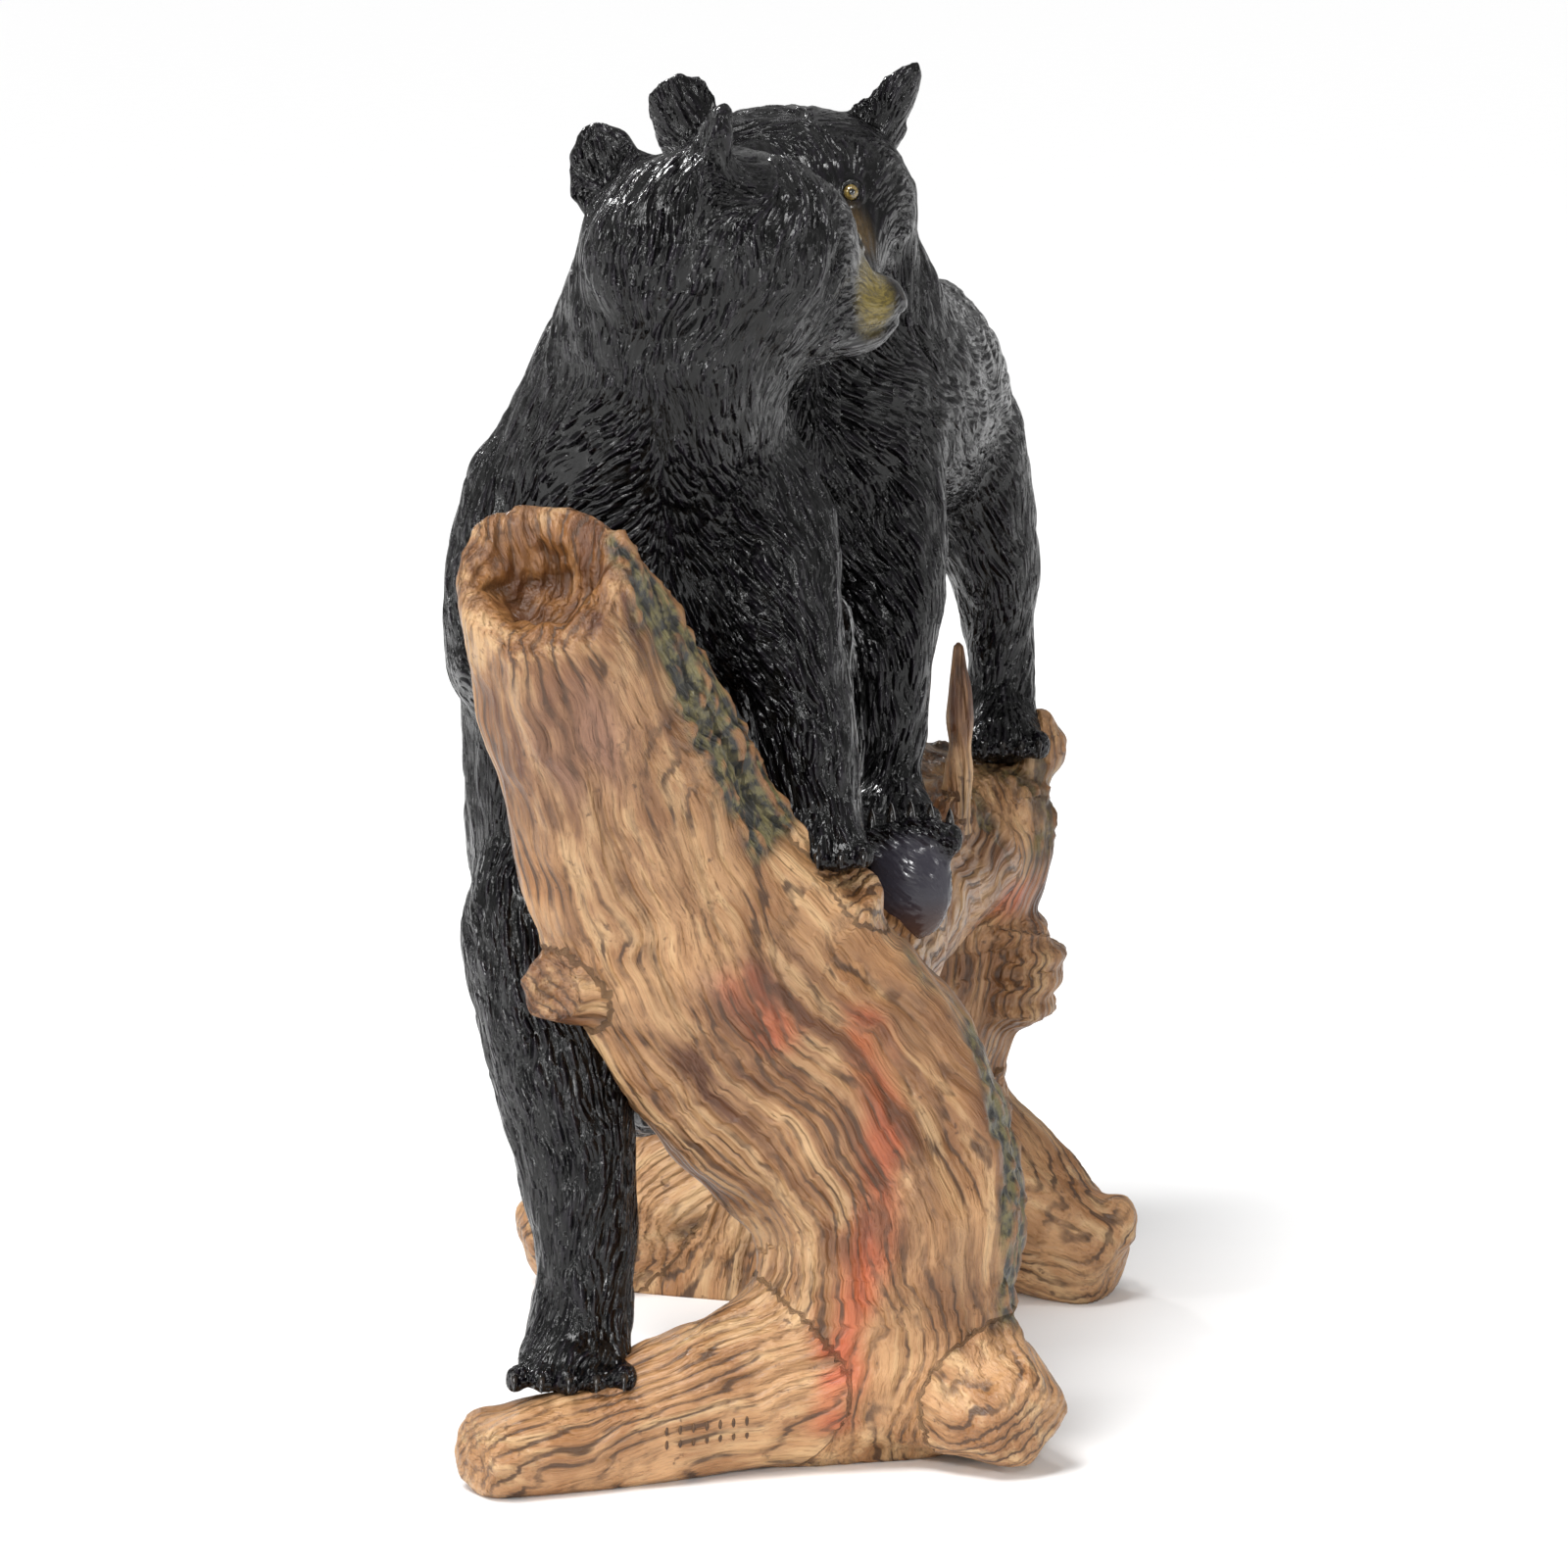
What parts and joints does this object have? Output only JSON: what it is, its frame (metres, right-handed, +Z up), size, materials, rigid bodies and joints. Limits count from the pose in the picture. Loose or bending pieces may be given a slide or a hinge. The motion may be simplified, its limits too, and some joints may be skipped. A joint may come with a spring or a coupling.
{
  "type": "two bear log statue",
  "caption": "Cast and painted statue of two black bears on a driftwood log, one sitting and hugging a branch, one standing behind it.",
  "frame": {"origin": "middle of the underside, on the surface that the log stands on", "axes": "+Z up; +X to the right and -Y towards a viewer who faces the branch end"},
  "size_m": [0.255, 0.4074, 0.4757],
  "materials": {
    "painted_fur": "gloss",
    "painted_driftwood": "satin",
    "glass_eye": "gloss"
  },
  "bodies": {
    "root": {"driftwood_log": "painted_driftwood", "sitting_bear": "painted_fur", "standing_bear": "painted_fur", "sitting_bear_eye_right": "glass_eye", "sitting_bear_eye_left": "glass_eye", "standing_bear_eye_right": "glass_eye", "standing_bear_eye_left": "glass_eye"}
  },
  "joints": []
}
